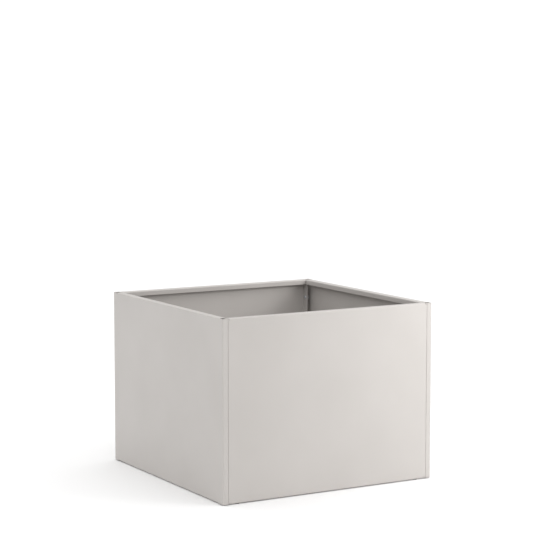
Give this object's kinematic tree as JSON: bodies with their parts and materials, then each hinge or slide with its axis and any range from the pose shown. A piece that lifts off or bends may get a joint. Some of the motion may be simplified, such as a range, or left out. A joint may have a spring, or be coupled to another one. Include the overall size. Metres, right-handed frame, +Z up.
{
  "type": "floor planter",
  "caption": "Square floor planter of folded sheet steel with bolted corner seams, a lipped rim, rubber feet and a raised floor whose drains are closed by pull-out plugs.",
  "frame": {"origin": "on the ground, under the middle of the planter", "axes": "+X to the planter's right, +Y to its back and +Z up; the seams show on the front and the back"},
  "size_m": [0.61, 0.61, 0.457],
  "materials": {
    "powder_coat": "warm light grey powder coat, satin",
    "galvanised_sheet": "hot-dip galvanised sheet, dull",
    "zinc_plate": "bright zinc plate",
    "black_rubber": "moulded black rubber, matt"
  },
  "bodies": {
    "planter": {"left_side_panel": "powder_coat", "right_side_panel": "powder_coat", "front_panel": "powder_coat", "back_panel": "powder_coat", "floor_pan": "galvanised_sheet", "floor_beam_left": "galvanised_sheet", "floor_beam_right": "galvanised_sheet", "floor_rivets_left": "zinc_plate", "floor_rivets_right": "zinc_plate", "seam_bolts_front_left": "zinc_plate", "seam_bolts_front_right": "zinc_plate", "seam_bolts_back_left": "zinc_plate", "seam_bolts_back_right": "zinc_plate", "seam_nuts_front_left": "zinc_plate", "seam_nuts_front_right": "zinc_plate", "seam_nuts_back_left": "zinc_plate", "seam_nuts_back_right": "zinc_plate", "foot_front_left": "black_rubber", "foot_front_right": "black_rubber", "foot_back_left": "black_rubber", "foot_back_right": "black_rubber"},
    "plug_front_left": {"drain_plug_front_left": "black_rubber"},
    "plug_front_right": {"drain_plug_front_right": "black_rubber"},
    "plug_back_left": {"drain_plug_back_left": "black_rubber"},
    "plug_back_right": {"drain_plug_back_right": "black_rubber"},
    "plug_middle": {"drain_plug_middle": "black_rubber"}
  },
  "joints": [
    {"name": "plug_front_left_pull", "type": "slide", "parent": "planter", "child": "plug_front_left", "axis": [0, 0, 1], "range_m": [0, 0.03]},
    {"name": "plug_front_right_pull", "type": "slide", "parent": "planter", "child": "plug_front_right", "axis": [0, 0, 1], "range_m": [0, 0.03]},
    {"name": "plug_back_left_pull", "type": "slide", "parent": "planter", "child": "plug_back_left", "axis": [0, 0, 1], "range_m": [0, 0.03]},
    {"name": "plug_back_right_pull", "type": "slide", "parent": "planter", "child": "plug_back_right", "axis": [0, 0, 1], "range_m": [0, 0.03]},
    {"name": "plug_middle_pull", "type": "slide", "parent": "planter", "child": "plug_middle", "axis": [0, 0, 1], "range_m": [0, 0.03]}
  ]
}
